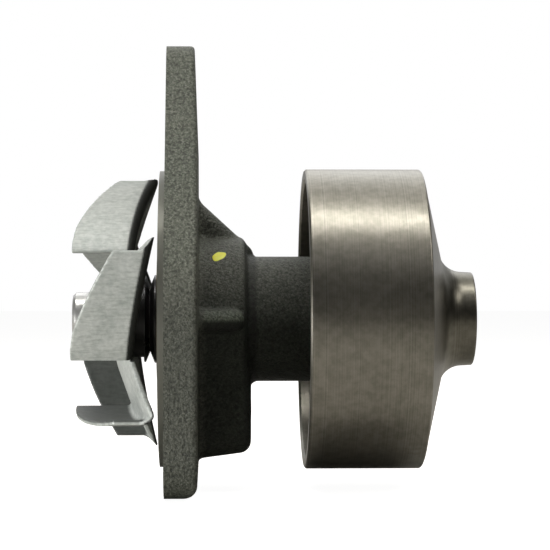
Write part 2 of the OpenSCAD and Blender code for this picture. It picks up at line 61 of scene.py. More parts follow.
# Bores and holes
SEAT_R, SEAT_END, THROAT_R, THROAT_END = 18.25, 7.7, 11.16, 9.5
CHAMBER_R, CHAMBER_END, BEARING_R, BEARING_CHAMFER = 14.4, 14.0, 15.02, 0.5
BOLT_R, BOLT_CHAMFER, SPOT_R, SPOT_FACE = 4.5, 0.4, 8.5, 8.4
DRAIN_R, DRAIN_X, VENT_R, VENT_X, VENT_DROP = 2.0, 11.75, 3.0, 19.1, 27.139
# Impeller
BLADES, TURN, PITCH, SWEEP, LEAD = 5, 61.0, 72.0, 53.0, 6.0
TIP_R, INNER_R, CURVE, SHEET = 42.7, 27.6, 72.0, 1.4
RIM_X, DISH, DISH_R, SPIGOT_R, PLATE_R = -2.8, 20.0, 13.0, 10.0, 25.2
PLATE_BLEND, PETAL_BLEND, LEAD_BOW, FLARE, FLARE_HEIGHT = 0.8, 0.8, 2.0, 4.0, 3.5
BACK_TURN, BACK_CUT = -35.0, 4.0
# Pulley and shaft
PULLEY_R, PULLEY_OPEN, PULLEY_BEND, PULLEY_CONE = 45.0, 41.3, 76.3, 12.4
HUB_R, HUB_START, HUB_END, HUB_BORE, HUB_FLARE = 14.15, 66.58, 92.0, 7.98, 7.2
SHAFT_R, SHAFT_START, SHAFT_END = 7.959, -28.0, 91.4

# Rounding radii of the casting, in millimetres
EDGE_ROUND, BODY_CORNER, BODY_EDGE = 1.1, 6.5, 3.0
CORE_BLEND, RIB_BLEND, BODY_BLEND, FLANGE_BLEND = 0.8, 1.0, 2.2, 1.6

# Stock left on the casting for the cuts, and where the cuts start and end, well outside it
FACE_STOCK, END_STOCK, PILOT_STOCK, PILOT_RIM_STOCK = 0.7, 1.5, 1.5, 0.8
CUT_START, CUT_END, CUT_WIDE = -6, 60, 130

# Grid steps of the two skins, in millimetres
CASTING_STEP, STAMPING_STEP = 0.6, 0.38


def rad(a):
    return a * math.pi / 180


def smin(a, b, k):
    """Joins two fields with a soft fillet of width k."""
    h = np.clip(0.5 + 0.5 * (b - a) / k, 0, 1)
    return b + (a - b) * h - k * h * (1 - h)


def smax(a, b, k):
    """Keeps what two fields share, with a soft edge of width k."""
    return -smin(-a, -b, k)


def round_meet(a, b, r):
    """Keeps what two fields share, with an edge of true radius r."""
    inside = np.minimum(np.maximum(a, b), -r)
    return inside + np.hypot(np.maximum(a + r, 0), np.maximum(b + r, 0))


def axes(lo, hi, step):
    """Gives the grid's three coordinates, shaped to spread over each other."""
    out = [np.arange(lo[i], hi[i] + step, step, dtype=np.float32) for i in range(3)]
    return out[0][:, None, None], out[1][None, :, None], out[2][None, None, :]


def link(ob):
    bpy.context.collection.objects.link(ob)
    return ob


def skin(name, field, lo, step):
    """Turns a distance field in millimetres into a closed mesh in metres."""
    grid = openvdb.FloatGrid(3 * step)
    grid.copyFromArray(np.ascontiguousarray(np.clip(field, -3 * step, 3 * step), dtype=np.float32))
    grid.gridClass = openvdb.GridClass.LEVEL_SET
    points, quads = grid.convertToQuads(0)
    points = (points * step + np.array(lo, dtype=np.float32)) * MM
    a, b, c = points[quads[:, 0]], points[quads[:, 1]], points[quads[:, 2]]
    if np.einsum("ij,ij->i", a, np.cross(b, c)).sum() < 0:
        quads = quads[:, ::-1]
    mesh = bpy.data.meshes.new(name)
    mesh.vertices.add(len(points))
    mesh.vertices.foreach_set("co", points.astype(np.float32).ravel())
    mesh.loops.add(quads.size)
    mesh.loops.foreach_set("vertex_index", np.ascontiguousarray(quads, dtype=np.int32).ravel())
    mesh.polygons.add(len(quads))
    mesh.polygons.foreach_set("loop_start", np.arange(0, quads.size, 4, dtype=np.int32))
    mesh.polygons.foreach_set("use_smooth", np.ones(len(quads), dtype=bool))
    mesh.update(calc_edges=True)
    mesh.validate()
    return link(bpy.data.objects.new(name, mesh))


def lathe(name, profile, steps, sharp=28):
    """Turns a closed outline of radius and station round the X axis."""
    mesh = bpy.data.meshes.new(name)
    bm = bmesh.new()
    rings = []
    for r, x in profile:
        if r <= 1e-6:
            rings.append([bm.verts.new((x * MM, 0, 0))])
        else:
            turns = [2 * math.pi * i / steps for i in range(steps)]
            rings.append([bm.verts.new((x * MM, r * MM * math.cos(t), r * MM * math.sin(t))) for t in turns])
    for p, q in zip(rings, rings[1:] + rings[:1]):
        if len(p) == 1 and len(q) == 1:
            continue
        for i in range(steps):
            j = (i + 1) % steps
            if len(p) == 1:
                bm.faces.new((p[0], q[i], q[j]))
            elif len(q) == 1:
                bm.faces.new((p[i], q[0], p[j]))
            else:
                bm.faces.new((p[i], q[i], q[j], p[j]))
    bmesh.ops.recalc_face_normals(bm, faces=bm.faces)
    bm.to_mesh(mesh)
    bm.free()
    for poly in mesh.polygons:
        poly.use_smooth = True
    mesh.set_sharp_from_angle(angle=rad(sharp))
    return link(bpy.data.objects.new(name, mesh))


def eased(points, radii, steps=4):
    """Rounds the corners of an outline, each by its own radius."""
    out = []
    n = len(points)
    for i, (p, r) in enumerate(zip(points, radii)):
        p = np.array(p, dtype=float)
        if r <= 0:
            out.append(tuple(p))
            continue
        a = np.array(points[i - 1], dtype=float) - p
        b = np.array(points[(i + 1) % n], dtype=float) - p
        la, lb = np.linalg.norm(a), np.linalg.norm(b)
        a, b = a / la, b / lb
        half = math.acos(max(-1, min(1, float(a @ b)))) / 2
        cut = min(r / math.tan(half), 0.49 * la, 0.49 * lb)
        r = cut * math.tan(half)
        centre = p + (a + b) / np.linalg.norm(a + b) * r / math.sin(half)
        s, e = p + a * cut - centre, p + b * cut - centre
        t0, t1 = math.atan2(s[1], s[0]), math.atan2(e[1], e[0])
        d = (t1 - t0 + math.pi) % (2 * math.pi) - math.pi
        for k in range(steps + 1):
            t = t0 + d * k / steps
            out.append((centre[0] + r * math.cos(t), centre[1] + r * math.sin(t)))
    return out


def cut(ob, cutter):
    """Takes the cutter's shape away, leaves its material on the cut and removes the cutter."""
    mod = ob.modifiers.new("cut", "BOOLEAN")
    mod.operation = "DIFFERENCE"
    mod.solver = "MANIFOLD"
    mod.object = cutter
    mod.material_mode = "TRANSFER"
    with bpy.context.temp_override(object=ob, active_object=ob, selected_objects=[ob]):
        bpy.ops.object.modifier_apply(modifier=mod.name)
    mesh = cutter.data
    bpy.data.objects.remove(cutter)
    bpy.data.meshes.remove(mesh)


# Materials
class Nodes:
    """A material built from noise, ramps and mixes in the part's own space."""

    def __init__(self, name):
        self.mat = bpy.data.materials.new(name)
        self.mat.use_nodes = True
        self.tree = self.mat.node_tree
        self.shader = self.tree.nodes["Principled BSDF"]
        coord = self.tree.nodes.new("ShaderNodeTexCoord")
        self.place = coord.outputs["Object"]

    def add(self, kind, **settings):
        node = self.tree.nodes.new(kind)
        for key, value in settings.items():
            setattr(node, key, value)
        return node

    def wire(self, a, b):
        self.tree.links.new(a, b)

    def scaled(self, scale, turn=(0, 0, 0)):
        node = self.add("ShaderNodeMapping")
        node.inputs["Scale"].default_value = scale
        node.inputs["Rotation"].default_value = turn
        self.wire(self.place, node.inputs["Vector"])
        return node.outputs["Vector"]

    def split(self):
        node = self.add("ShaderNodeSeparateXYZ")
        self.wire(self.place, node.inputs[0])
        return node.outputs

    def radius(self):
        """Distance from the shaft's axis."""
        node = self.add("ShaderNodeVectorMath", operation="LENGTH")
        self.wire(self.scaled((0, 1, 1)), node.inputs[0])
        return node.outputs["Value"]

    def stripes(self, value, scale, detail, rough):
        """Noise along one value, for turning marks."""
        line = self.add("ShaderNodeCombineXYZ")
        self.wire(value, line.inputs[0])
        return self.noise(line.outputs[0], scale, detail, rough)

    def noise(self, vector, scale, detail=3.0, rough=0.5):
        node = self.add("ShaderNodeTexNoise")
        node.inputs["Scale"].default_value = scale
        node.inputs["Detail"].default_value = detail
        node.inputs["Roughness"].default_value = rough
        self.wire(vector, node.inputs["Vector"])
        return node.outputs["Fac"]

    def ramp(self, value, stops):
        node = self.add("ShaderNodeValToRGB")
        band = node.color_ramp
        while len(band.elements) < len(stops):
            band.elements.new(0.5)
        for element, (at, colour) in zip(band.elements, stops):
            element.position = at
            element.color = (*colour, 1)
        self.wire(value, node.inputs["Fac"])
        return node.outputs["Color"]

    def mix(self, a, b, share, how="MIX"):
        node = self.add("ShaderNodeMix", data_type="RGBA", blend_type=how)
        self.wire(a, node.inputs["A"])
        self.wire(b, node.inputs["B"])
        if isinstance(share, float):
            node.inputs["Factor"].default_value = share
        else:
            self.wire(share, node.inputs["Factor"])
        return node.outputs["Result"]

    def span(self, value, lo, hi, a=0.0, b=1.0):
        node = self.add("ShaderNodeMapRange")
        node.inputs["From Min"].default_value = lo
        node.inputs["From Max"].default_value = hi
        node.inputs["To Min"].default_value = a
        node.inputs["To Max"].default_value = b
        self.wire(value, node.inputs["Value"])
        return node.outputs["Result"]

    def math(self, how, a, b):
        node = self.add("ShaderNodeMath", operation=how)
        for i, v in enumerate((a, b)):
            if isinstance(v, (int, float)):
                node.inputs[i].default_value = v
            else:
                self.wire(v, node.inputs[i])
        return node.outputs[0]

    def bump(self, height, strength, depth, under=None):
        node = self.add("ShaderNodeBump")
        node.inputs["Strength"].default_value = strength
        node.inputs["Distance"].default_value = depth
        self.wire(height, node.inputs["Height"])
        if under is not None:
            self.wire(under, node.inputs["Normal"])
        return node.outputs["Normal"]

    def finish(self, colour, rough, normal, metal, spec=0.5):
        sh = self.shader
        sh.inputs["Metallic"].default_value = metal
        sh.inputs["Specular IOR Level"].default_value = spec
        self.wire(colour, sh.inputs["Base Color"])
        self.wire(rough, sh.inputs["Roughness"])
        self.wire(normal, sh.inputs["Normal"])
        return self.mat


def cast_iron():
    n = Nodes("cast_iron_skin")
    x, y, z = n.split()
    fine = n.noise(n.place, 1700, 3.0, 0.65)
    pits = n.noise(n.place, 1050, 2.0, 0.5)
    wide = n.noise(n.place, 60, 3.0, 0.5)
    grain = n.ramp(fine, [
        (0.36, (0.026, 0.030, 0.020)), (0.52, (0.100, 0.107, 0.084)), (0.70, (0.22, 0.225, 0.188))])
    hollow = n.ramp(pits, [(0.36, (0.5, 0.51, 0.49)), (0.50, (1.0, 1.0, 1.0))])
    stain = n.ramp(wide, [(0.35, (0.085, 0.092, 0.072)), (0.65, (0.130, 0.130, 0.103))])
    colour = n.mix(n.mix(grain, stain, 0.25), hollow, 1.0, "MULTIPLY")

    # Painted shading: the flange's side is painted lighter at the top and darker below, and behind the flange the
    # casting is painted darker downward as shade
    low = n.ramp(n.span(z, -0.002, 0.016), [(0.0, (0.32, 0.37, 0.34)), (1.0, (1.10, 1.10, 1.12))])
    flange_painted_shading = n.ramp(n.span(z, 0.004, 0.018), [(0.0, (0.84, 0.84, 0.83)), (1.0, (1.25, 1.27, 1.25))])
    shade = n.mix(flange_painted_shading, low, n.span(x, 0.0085, 0.0125))
    colour = n.mix(colour, shade, 1.0, "MULTIPLY")

    # Painted shade on the shoulder between barrel and neck
    shoulder_painted_shade = n.ramp(n.span(x, 0.0222, 0.0274), [
        (0.0, (1.0, 1.0, 1.0)), (0.35, (0.42, 0.43, 0.42)), (0.75, (0.38, 0.39, 0.38)), (1.0, (1.0, 1.0, 1.0))])
    colour = n.mix(colour, shoulder_painted_shade, 1.0, "MULTIPLY")

    # Side ledges: painted highlight on top, painted shadow below
    white = n.ramp(fine, [(0.0, (1.0, 1.0, 1.0)), (1.0, (1.0, 1.0, 1.0))])
    ledge_painted_light = n.ramp(n.span(z, -0.0036, 0.0036), [
        (0.0, (0.6, 0.6, 0.6)), (0.15, (0.4, 0.4, 0.4)), (0.42, (0.5, 0.5, 0.5)), (0.56, (2.7, 2.7, 2.7)),
        (0.85, (2.1, 2.1, 2.1)), (1.0, (1.0, 1.0, 1.0))])
    outside = n.span(n.math("ABSOLUTE", y, 0.0), 0.0240, 0.0250)
    beyond = n.math("MULTIPLY", outside, n.span(x, 0.0105, 0.0120))
    colour = n.mix(colour, n.mix(white, ledge_painted_light, beyond), 1.0, "MULTIPLY")

    normal = n.bump(fine, 0.7, 0.0006, n.bump(pits, 0.6, 0.0008))
    rough = n.span(fine, 0.3, 0.7, 0.50, 0.72)
    return n.finish(colour, rough, normal, 0.0, 0.45)


def machined_iron():
    n = Nodes("machined_iron")
    rings = n.stripes(n.radius(), 2600, 2.0, 0.7)
    blot = n.noise(n.place, 120, 3.0, 0.5)
    a = n.ramp(rings, [(0.3, (0.12, 0.122, 0.10)), (0.7, (0.20, 0.20, 0.17))])
    b = n.ramp(blot, [(0.35, (0.11, 0.112, 0.09)), (0.7, (0.19, 0.19, 0.165))])
    rough = n.span(rings, 0.2, 0.8, 0.32, 0.5)
    return n.finish(n.mix(a, b, 0.4), rough, n.bump(rings, 0.25, 0.0001), 0.5)


def turned_steel():
    n = Nodes("turned_steel")
    x = n.split()[0]
    rings = n.stripes(n.math("ADD", x, n.radius()), 2400, 3.0, 0.75)
    blot = n.noise(n.place, 45, 4.0, 0.6)
    speck = n.noise(n.place, 420, 3.0, 0.6)
    a = n.ramp(rings, [(0.30, (0.14, 0.135, 0.11)), (0.5, (0.26, 0.25, 0.21)), (0.72, (0.44, 0.42, 0.37))])
    b = n.ramp(blot, [(0.32, (0.19, 0.185, 0.15)), (0.68, (0.33, 0.305, 0.262))])
    c = n.ramp(speck, [(0.36, (0.15, 0.145, 0.115)), (0.64, (0.36, 0.335, 0.29))])
    colour = n.mix(n.mix(a, b, 0.3), c, 0.3)
    hub = n.ramp(n.span(x, 0.081, 0.086), [(0.0, (1, 1, 1)), (1.0, (0.62, 0.62, 0.60))])
    colour = n.mix(colour, hub, 1.0, "MULTIPLY")
    rough = n.span(blot, 0.3, 0.7, 0.31, 0.38)
    return n.finish(colour, rough, n.bump(rings, 0.18, 0.0001), 0.96)


def plated_sheet():
    n = Nodes("plated_sheet")
    blot = n.noise(n.place, 110, 4.0, 0.6)
    fine = n.noise(n.place, 700, 3.0, 0.6)
    a = n.ramp(blot, [(0.35, (0.52, 0.545, 0.52)), (0.65, (0.80, 0.81, 0.78))])
    b = n.ramp(fine, [(0.35, (0.50, 0.52, 0.50)), (0.65, (0.82, 0.83, 0.80))])
    normal = n.bump(fine, 0.2, 0.00015, n.bump(blot, 0.25, 0.0006))
    lines = n.noise(n.scaled((260, 2600, 900), (0.5, 0.3, 0.2)), 1.0, 3.0, 0.65)
    worn = n.ramp(lines, [(0.36, (0.80, 0.81, 0.80)), (0.55, (1.0, 1.0, 1.0))])
    colour = n.mix(n.mix(a, b, 0.45), worn, 1.0, "MULTIPLY")
    # Painted shade on the outsides of the folds and on the petals' hollow sides
    for name, tint in (("hollow", (0.11, 0.115, 0.11)), ("fold", (0.035, 0.037, 0.034))):
        mark = n.add("ShaderNodeAttribute", attribute_name=name)
        shade = n.ramp(mark.outputs["Fac"], [(0.0, (0.86, 0.87, 0.86)), (1.0, tint)])
        colour = n.mix(colour, shade, 1.0, "MULTIPLY")
    return n.finish(colour, n.span(blot, 0.3, 0.7, 0.42, 0.55), normal, 0.15)


def bright_metal(name, lo, hi, rough, scale=1500):
    n = Nodes(name)
    rings = n.stripes(n.split()[0], scale, 3.0, 0.7)
    blot = n.noise(n.place, 150, 3.0, 0.5)
    a = n.ramp(rings, [(0.3, lo), (0.7, hi)])
    b = n.ramp(blot, [(0.3, lo), (0.7, hi)])
    rough = n.span(blot, 0.3, 0.7, rough - 0.05, rough + 0.07)
    return n.finish(n.mix(a, b, 0.5), rough, n.bump(rings, 0.12, 0.00008), 0.9)


def dull(name, lo, hi, rough, scale=500, depth=0.0001):
    n = Nodes(name)
    fine = n.noise(n.place, scale, 3.0, 0.6)
    blot = n.noise(n.place, 90, 3.0, 0.5)
    a = n.ramp(fine, [(0.3, lo), (0.7, hi)])
    b = n.ramp(blot, [(0.3, lo), (0.7, hi)])
    rough = n.span(blot, 0.3, 0.7, rough - 0.06, rough + 0.06)
    return n.finish(n.mix(a, b, 0.5), rough, n.bump(fine, 0.25, depth), 0.0)


IRON, MACHINED, TURNED, PLATED = cast_iron(), machined_iron(), turned_steel(), plated_sheet()
SHAFT = bright_metal("ground_steel", (0.55, 0.55, 0.53), (0.70, 0.70, 0.68), 0.30)
SATIN = bright_metal("satin_steel", (0.40, 0.40, 0.38), (0.58, 0.58, 0.56), 0.38, 900)
BRASS = bright_metal("drawn_brass", (0.48, 0.34, 0.14), (0.66, 0.49, 0.23), 0.35, 900)
CUP = bright_metal("aged_brass", (0.07, 0.06, 0.04), (0.13, 0.105, 0.065), 0.42, 900)
RUBBER = dull("black_rubber", (0.012, 0.012, 0.012), (0.030, 0.030, 0.029), 0.55)
MOULDED = dull("moulded_rubber", (0.016, 0.016, 0.016), (0.040, 0.040, 0.039), 0.30)
CARBON = dull("black_carbon", (0.018, 0.018, 0.018), (0.045, 0.045, 0.045), 0.34)
CERAMIC = dull("white_ceramic", (0.76, 0.74, 0.68), (0.86, 0.84, 0.78), 0.22)
FILTER = dull("filter_foam", (0.55, 0.54, 0.49), (0.76, 0.75, 0.70), 0.85, 1500, 0.0004)
PAINT = dull("yellow_paint", (0.96, 0.94, 0.04), (1.0, 0.99, 0.16), 0.42, 700, 0.0002)


# Housing: the cast skin as one distance field, then the machined cuts
def flange_outline(y, z):
    """Tear-drop with a square-shouldered foot, seen along the shaft."""
    b = (FLANGE_R - LOBE_R) / TOP_H
    a = math.sqrt(1 - b * b)
    ay = np.abs(y)
    k = -b * ay + a * z
    drop = np.where(k < 0, np.hypot(ay, z) - FLANGE_R,
                    np.where(k > a * TOP_H, np.hypot(ay, z - TOP_H) - LOBE_R, a * ay + b * z - FLANGE_R))
    foot = round_meet(ay - FLANGE_R, np.abs(z - FOOT_MIDDLE) - FOOT_HALF, LOBE_R)
    return np.minimum(drop, foot)


def rib_field(x, up, side, reach, slope, tip):
    """A rib with a round back that slopes from the flange down to its tip."""
    s = rad(slope)
    axis = reach - RIB_R / math.cos(s)
    x0, x1 = 2.0, tip
    z0, z1 = axis - (x0 - FLANGE_T) * math.tan(s), axis - (x1 - FLANGE_T) * math.tan(s)
    px, pz, dx, dz = x - x0, up - z0, x1 - x0, z1 - z0
    h = np.clip((px * dx + pz * dz) / (dx * dx + dz * dz), 0, 1)
    rod = np.sqrt((px - dx * h) ** 2 + (pz - dz * h) ** 2 + side ** 2) - RIB_R
    below = (up - axis + (x - FLANGE_T) * math.tan(s)) * math.cos(s)
    slab = np.maximum(np.maximum(np.abs(side) - RIB_R, below), np.maximum(x - tip, -up))
    return np.minimum(rod, slab)


def housing_blank(step):
    """The casting before machining, as one skin."""
    lo, hi = (-4.5, -52.0, -52.0), (55.0, 52.0, 84.0)
    fillet_start = 15
    x, y, z = axes(lo, hi, step)
    r = np.hypot(y, z)
    outline = flange_outline(y, z)
    rise = np.clip((z - FLANGE_R) / (TOP_H + LOBE_R - FLANGE_R), 0, 1)
    flange = round_meet(outline + 0 * x, x - (FLANGE_T - DRAFT * rise), EDGE_ROUND)
    flange = np.maximum(flange, -FACE_STOCK - x)
    low = np.hypot(np.maximum(x - FLANGE_T + LOW_EDGE, 0),
                   np.maximum(-z - LOW_DROP - LOBE_R + LOW_EDGE, 0)) - LOW_EDGE
    flange = np.maximum(flange, low)
    barrel = np.maximum(round_meet(r - BARREL_R + 0 * x, x - BARREL_END, BARREL_ROUND), -x)
    neck = np.maximum(r - NECK_R, np.maximum(x - NECK_END - END_STOCK, -x))
    hollow = FILLET - np.hypot(r - NECK_R - FILLET, x - SHOULDER_END)
    fillet = np.maximum(np.maximum(hollow, r - NECK_R - FILLET), np.maximum(x - SHOULDER_END, fillet_start - x))
    slope = rad(BODY_SLOPE)
    under = (-z - BODY_DROP + (x - FLANGE_T) * math.tan(slope)) * math.cos(slope)
    body = round_meet(np.abs(y) - BODY_HALF + 0 * x, under + 0 * y, BODY_CORNER)
    body = round_meet(body, x - BODY_END, BODY_EDGE)
    body = np.maximum(body, np.maximum(z, -x))
    core = smin(smin(barrel, neck, CORE_BLEND), fillet, CORE_BLEND)
    core = smin(core, rib_field(x, z, y, RIB_REACH, RIB_SLOPE, RIB_TIP), RIB_BLEND)
    core = smin(core, rib_field(x, np.abs(y), z, SIDE_REACH, SIDE_SLOPE, SIDE_TIP), RIB_BLEND)
    core = smin(core, body, BODY_BLEND)
    whole = smin(core, flange, FLANGE_BLEND)
    pilot = np.maximum(r - PILOT_R - PILOT_RIM_STOCK, np.maximum(x - 3, -PILOT_H - PILOT_STOCK - x))
    return skin("housing_casting", np.minimum(whole, pilot), lo, step)


def machined(name, profile, place=(0, 0, 0), down=False):
    """A turned cutter that leaves a machined face, along X or pointing down."""
    ob = lathe(name, profile, steps=144)
    ob.data.materials.append(MACHINED)
    for v in ob.data.vertices:
        if down:
            v.co = Vector((v.co.y, v.co.z, -v.co.x))
        v.co += Vector(place) * MM
    return ob


housing = housing_blank(CASTING_STEP)
housing.data.materials.append(IRON)
housing.data.materials.append(MACHINED)
cuts = [
    ("cut_face", [(PILOT_R, CUT_START), (CUT_WIDE, CUT_START), (CUT_WIDE, 0), (PILOT_R, 0)]),
    ("cut_pilot", [
        (0, CUT_START), (70, CUT_START), (70, -PILOT_H - 0.3), (PILOT_R, -PILOT_H - 0.001),
        (PILOT_R - 0.4, -PILOT_H), (0, -PILOT_H)]),
    ("cut_groove", [
        (GROOVE_R, -1), (GROOVE_R + GROOVE_W, -1), (GROOVE_R + GROOVE_W, GROOVE_W), (GROOVE_R, GROOVE_W)]),
    ("cut_bore", [
        (0, CUT_START), (SEAT_R + 0.35, CUT_START), (SEAT_R + 0.35, -PILOT_H), (SEAT_R, -1.5), (SEAT_R, SEAT_END),
        (THROAT_R, SEAT_END), (THROAT_R, THROAT_END), (CHAMBER_R, THROAT_END), (CHAMBER_R, CHAMBER_END),
        (BEARING_R, CHAMBER_END), (BEARING_R, NECK_END - BEARING_CHAMFER), (15.5, NECK_END), (15.5, CUT_END),
        (0, CUT_END)]),
    ("cut_end", [(14.0, NECK_END), (30, NECK_END), (30, CUT_END), (14.0, CUT_END)])]
for name, profile in cuts:
    cut(housing, machined(name, profile))
wide = BOLT_R + BOLT_CHAMFER
bolt_cut = [
    (0, -3), (wide, -3), (wide, 0), (BOLT_R, BOLT_CHAMFER), (BOLT_R, SPOT_FACE - BOLT_CHAMFER), (wide, SPOT_FACE),
    (SPOT_R - BOLT_CHAMFER, SPOT_FACE), (SPOT_R, SPOT_FACE + BOLT_CHAMFER), (SPOT_R, 20), (0, 20)]
for y, z in ((0, TOP_H), (-LOW_SIDE, -LOW_DROP), (LOW_SIDE, -LOW_DROP)):
    cut(housing, machined("cut_hole", bolt_cut, (0, y, z)))
cut(housing, machined("cut_drain", [(0, 0), (DRAIN_R, 0), (DRAIN_R, 45), (0, 45)], (DRAIN_X, 0, 0), down=True))
cut(housing, machined("cut_vent", [(0, VENT_X), (VENT_R, VENT_X), (VENT_R, 40), (0, 40)], (0, 0, -VENT_DROP)))
housing.data.set_sharp_from_angle(angle=rad(38))
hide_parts("housing")
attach(housing, "pump_body")


# Impeller: bent sheet petals round a dished middle
def polar(r, a):
    return np.array([r * math.cos(rad(a)), r * math.sin(rad(a))])


START, TIP = polar(INNER_R, 0), polar(TIP_R, -SWEEP)
CHORD = np.linalg.norm(TIP - START)
SIDE = np.array([-(TIP - START)[1], (TIP - START)[0]]) / CHORD
CENTRE = (START + TIP) / 2 - SIDE * math.sqrt(CURVE ** 2 - CHORD ** 2 / 4)
MID_R, BEND = CURVE - SHEET / 2, 2.4

# How much each petal's tip is trimmed, and how much painted shade its hollow side gets
END_TRIM = [0.0, 0.0, 0.0, 0.4, 1.8]
HOLLOW_SHADE = (0.35, 0.8, 1.0, 0.9, 1.0)

# The petals' free edge: how far toward the engine it reaches at each radius
FREE_R = [0, 27.6, 29.5, 33.5, 37.0, 39.4, 41.0, 42.0, 43.0, 60.0]
FREE_X = [-27.3, -27.3, -26.4, -22.9, -19.6, -17.3, -15.8, -14.6, -12.6, 20.0]
FREE_LEAN = 0.74


def petal_frame(y, z, i):
    """Turns Y and Z into the frame of petal i."""
    a0 = rad(TURN + i * PITCH)
    return y * math.cos(a0) + z * math.sin(a0), -y * math.sin(a0) + z * math.cos(a0)


def plate_mid(r):
    """Station of the dished plate's middle layer at a radius."""
    cone = RIM_X - (TIP_R - r) * math.tan(rad(DISH)) - SHEET / math.cos(rad(DISH)) / 2
    flat = RIM_X - (TIP_R - DISH_R) * math.tan(rad(DISH)) - SHEET / 2
    return smax(cone, np.full_like(cone, flat), PLATE_BLEND)


def impeller_field(x, y, z):
    """The stamping: a dished plate whose five petals fold up and are trimmed on all sides."""
    r = np.hypot(y, z)
    b = (plate_mid(r) - x) * math.cos(rad(DISH))
    to_start, to_tip = (START - CENTRE) / CURVE, (TIP - CENTRE) / CURVE
    side_start = np.array([-to_start[1], to_start[0]])
    side_tip = np.array([to_tip[1], -to_tip[0]])
    p0, p1 = polar(INNER_R - 0.3, -PITCH), polar(TIP_R, -SWEEP - LEAD)
    d = p1 - p0
    lead_n = np.array([d[1], -d[0]]) / np.linalg.norm(d)
    if lead_n @ p0 < 0:
        lead_n = -lead_n
    whole = np.maximum(np.abs(b) - SHEET / 2, r - PLATE_R)
    for i in range(BLADES):
        u, v = petal_frame(y, z, i)
        far = np.hypot(u - CENTRE[0], v - CENTRE[1])
        shell = np.abs(round_meet(far - MID_R + 0 * x, -b, BEND)) - SHEET / 2
        start_cut = (u - START[0]) * side_start[0] + (v - START[1]) * side_start[1]
        tip_cut = (u - TIP[0]) * side_tip[0] + (v - TIP[1]) * side_tip[1] + END_TRIM[i]
        share = np.clip(((u - p0[0]) * d[0] + (v - p0[1]) * d[1]) / (d @ d), 0, 1)
        lead_cut = u * lead_n[0] + v * lead_n[1] - lead_n @ p0 + LEAD_BOW * (1 - share) * (0.4 + share)
        over = FLARE * np.clip(1 - b / FLARE_HEIGHT, 0, 1) ** 2
        region = smax(lead_cut + 0 * x, tip_cut - over, PETAL_BLEND)
        region = np.maximum(region, start_cut + 0 * x)
        region = np.maximum(region, -u * math.cos(rad(BACK_TURN)) - v * math.sin(rad(BACK_TURN)) + BACK_CUT)
        on_wall = MID_R / far
        wall_r = np.hypot(CENTRE[0] + (u - CENTRE[0]) * on_wall, CENTRE[1] + (v - CENTRE[1]) * on_wall)
        edge_r = np.where(b > BEND, wall_r, r)
        free = (np.interp(edge_r, FREE_R, FREE_X).astype(np.float32) - x) * FREE_LEAN
        whole = np.minimum(whole, np.maximum(np.maximum(shell, region), free))
    return np.maximum(whole, SPIGOT_R - r)


def mark_faces(mesh):
    """Stores how far each point lies on a fold's outside and on a petal's hollow side, where the sheet gets
    painted shade.
    """
    co = np.empty(len(mesh.vertices) * 3)
    mesh.vertices.foreach_get("co", co)
    co = co.reshape(-1, 3) / MM
    b = (plate_mid(np.hypot(co[:, 1], co[:, 2])) - co[:, 0]) * math.cos(rad(DISH))
    fold, hollow = np.zeros(len(co)), np.zeros(len(co))
    angles = [math.degrees(math.atan2(*(q - CENTRE)[::-1])) for q in (START, TIP)]
    for i in range(BLADES):
        u, v = petal_frame(co[:, 1], co[:, 2], i)
        u, v = u - CENTRE[0], v - CENTRE[1]
        far = np.hypot(u, v)
        turn = np.degrees(np.arctan2(v, u))
        on = (turn > min(angles) - 3) & (turn < max(angles) + 0.6) & (far < CURVE + 0.3)
        a = MID_R - far
        q = round_meet(-a, -b, BEND)
        outer, inner = np.clip(q / 0.3, 0, 1), np.clip(-q / 0.3, 0, 1)
        near_plate, above_plate = np.clip((2.3 - b) / 0.5, 0, 1), np.clip((b - 1.2) / 1.2, 0, 1)
        fold = np.maximum(fold, on * outer * near_plate * np.clip((6 - a) / 2, 0, 1))
        hollow = np.maximum(hollow, on * inner * above_plate * (a < 2.0) * HOLLOW_SHADE[i])
    for name, values in (("fold", fold), ("hollow", hollow)):
        mesh.attributes.new(name, "FLOAT", "POINT").data.foreach_set("value", values.astype(np.float32))


start, end = (-29.0, -44.5, -44.5), (-1.0, 44.5, 44.5)
stamping = impeller_field(*axes(start, end, STAMPING_STEP))
impeller = skin("impeller_stamping", stamping, start, STAMPING_STEP)
impeller.data.materials.append(PLATED)
mark_faces(impeller.data)
impeller.data.set_sharp_from_angle(angle=rad(50))
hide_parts("impeller")
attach(impeller, "rotor")

# Pulley, shaft and other turned pieces
rim_in, rim_bevel, hub_in = PULLEY_R - 3.6, 0.6, 13.55
flare_r = HUB_R + HUB_FLARE
flare_x = PULLEY_BEND + (PULLEY_R - flare_r) * math.tan(rad(PULLEY_CONE)) + HUB_FLARE / math.cos(rad(PULLEY_CONE))
rim = [
    (hub_in, HUB_START), (hub_in, 78.6), (rim_in, 72.49), (rim_in, PULLEY_OPEN + rim_bevel),
    (rim_in + rim_bevel, PULLEY_OPEN), (PULLEY_R - 0.5, PULLEY_OPEN), (PULLEY_R, PULLEY_OPEN + 0.5),
    (PULLEY_R, PULLEY_BEND)]
flare = [(flare_r + HUB_FLARE * math.cos(rad(t)), flare_x + HUB_FLARE * math.sin(rad(t)))
         for t in np.linspace(270 - PULLEY_CONE, 180, 14)]
hub = [(HUB_R, HUB_END), (HUB_BORE, HUB_END), (HUB_BORE, HUB_START)]
outline = eased(rim, [0.4, 2.5, 3.0, 0, 0, 0, 0, 0.7]) + flare + eased(hub, [0.5, 0.4, 0.3])
pulley = lathe("pulley_turned", outline, steps=256)
pulley.data.materials.append(TURNED)
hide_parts("pulley")
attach(pulley, "rotor")

